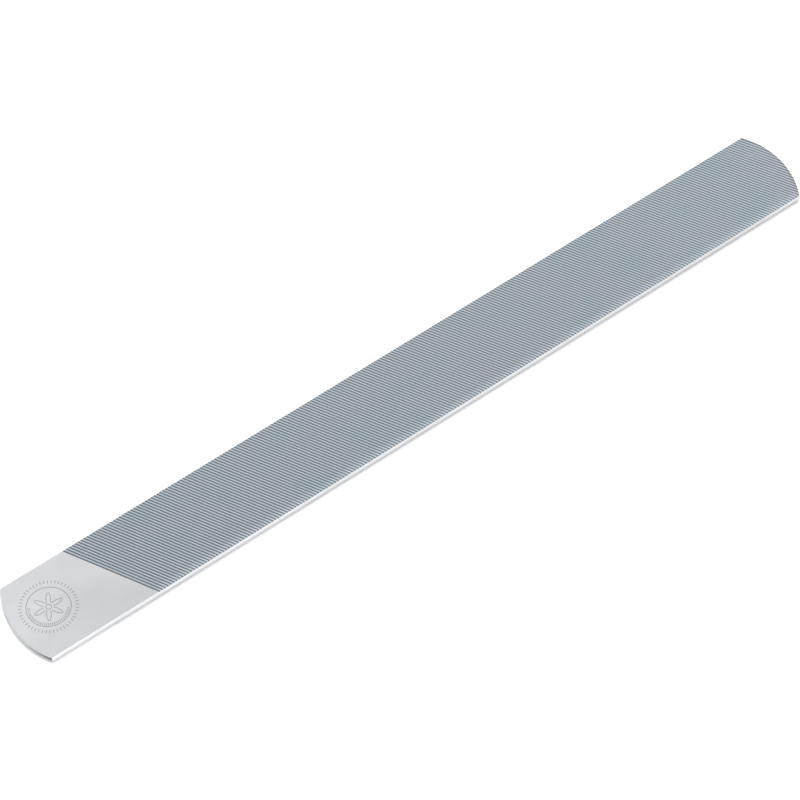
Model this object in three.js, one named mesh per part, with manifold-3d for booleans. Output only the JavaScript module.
// Flat milled rasp: one tangless strip of hardened steel with rounded ends.
// Straight single-cut teeth run diagonally across both faces, from the edge of a
// smooth holding end right out to the far tip.
// Millimetres. +X runs from the holding end to the tip, +Z is up, and the rasp lies
// on its lower tooth tips at z = 0, centred on the Z axis.

import * as THREE from 'three';
import { mergeVertices } from 'three/addons/utils/BufferGeometryUtils.js';
import Module from 'manifold-3d';

// The blank
const LENGTH = 350;
const WIDTH = 35;
const THICKNESS = 4;
const END_RADIUS = 33;
const END_ARC_STEPS = 24;

// The cut
const TOOTH_PITCH = 1.11;              // across the teeth
const TOOTH_DEPTH = 0.5;
const TOOTH_SKEW = THREE.MathUtils.degToRad(28.5);
const CUT_START = 41;                  // from the holding end's tip, on the centreline
const RAKE_RUN = 0.08 * TOOTH_PITCH;   // plan width of the steep cutting face
const GULLET_FLOOR = 0.3 * TOOTH_PITCH;

// How far the cutter reaches past the blank, so that every groove runs out cleanly
const CUTTER_OVERRUN = 5;
const CUTTER_HEADROOM = 2;

const STEEL = new THREE.MeshStandardMaterial({
  color: 0xaab1b9,
  roughness: 0.38,
  metalness: 1,
});

const wasm = await Module();
wasm.setup();

function toSolid(geometry) {
  const bare = geometry.clone();
  bare.deleteAttribute('normal');
  bare.deleteAttribute('uv');
  const merged = mergeVertices(bare, 1e-5);
  return new wasm.Manifold(new wasm.Mesh({
    numProp: 3,
    vertProperties: new Float32Array(merged.attributes.position.array),
    triVerts: new Uint32Array(merged.index.array),
  }));
}

function toGeometry(solid) {
  const mesh = solid.getMesh();
  const geometry = new THREE.BufferGeometry();
  geometry.setAttribute('position', new THREE.BufferAttribute(mesh.vertProperties, 3));
  geometry.setIndex(new THREE.BufferAttribute(mesh.triVerts, 1));
  geometry.computeVertexNormals();
  return geometry;
}

// Plan outline: straight sides that meet a convex arc at each end in a plain corner.
function blankOutline() {
  const halfAngle = Math.asin(WIDTH / 2 / END_RADIUS);
  const arcCentre = LENGTH / 2 - END_RADIUS;
  const shape = new THREE.Shape();
  shape.absarc(arcCentre, 0, END_RADIUS, -halfAngle, halfAngle, false);
  shape.absarc(-arcCentre, 0, END_RADIUS, Math.PI - halfAngle, Math.PI + halfAngle, false);
  shape.closePath();
  return shape;
}

function makeBlank() {
  return new THREE.ExtrudeGeometry(blankOutline(), {
    depth: THICKNESS,
    curveSegments: END_ARC_STEPS,
    bevelEnabled: false,
  });
}

// The removed metal in section, looking along the teeth: s runs across them towards the
// tip and z is the height. Each groove drops steeply behind one tooth tip, which is that
// tooth's cutting face, crosses a short floor and climbs the next tooth's long back.
function grooveSection(start, count) {
  const shape = new THREE.Shape();
  shape.moveTo(start, THICKNESS);
  for (let tooth = 0; tooth < count; tooth += 1) {
    const tip = start + tooth * TOOTH_PITCH;
    shape.lineTo(tip + RAKE_RUN, THICKNESS - TOOTH_DEPTH);
    shape.lineTo(tip + RAKE_RUN + GULLET_FLOOR, THICKNESS - TOOTH_DEPTH);
    shape.lineTo(tip + TOOTH_PITCH, THICKNESS);
  }
  shape.lineTo(start + count * TOOTH_PITCH, THICKNESS + CUTTER_HEADROOM);
  shape.lineTo(start, THICKNESS + CUTTER_HEADROOM);
  shape.closePath();
  return shape;
}

function makeCutter() {
  const start = (CUT_START - LENGTH / 2) * Math.cos(TOOTH_SKEW);
  const end = (LENGTH / 2) * Math.cos(TOOTH_SKEW) + (WIDTH / 2) * Math.sin(TOOTH_SKEW);
  const count = Math.ceil((end - start) / TOOTH_PITCH);
  const reach = (LENGTH / 2) * Math.sin(TOOTH_SKEW) + WIDTH / 2 + CUTTER_OVERRUN;
  const cutter = new THREE.ExtrudeGeometry(grooveSection(start, count), {
    depth: 2 * reach,
    bevelEnabled: false,
  });
  cutter.translate(0, 0, -reach);
  cutter.rotateX(Math.PI / 2);
  cutter.rotateZ(TOOTH_SKEW);
  return cutter;
}

// The lower face is cut like the upper one, with the blank turned over about its length.
function turnedOver(geometry) {
  const turned = geometry.clone();
  turned.translate(0, 0, -THICKNESS / 2);
  turned.rotateX(Math.PI);
  turned.translate(0, 0, THICKNESS / 2);
  return turned;
}

function makeRaspBlade() {
  const upperCut = makeCutter();
  const lowerCut = turnedOver(upperCut);
  const blade = toSolid(makeBlank())
    .subtract(toSolid(upperCut))
    .subtract(toSolid(lowerCut));
  const mesh = new THREE.Mesh(toGeometry(blade), STEEL);
  mesh.name = 'rasp_blade';
  return mesh;
}

const rasp = new THREE.Group();
rasp.add(makeRaspBlade());

export default rasp;
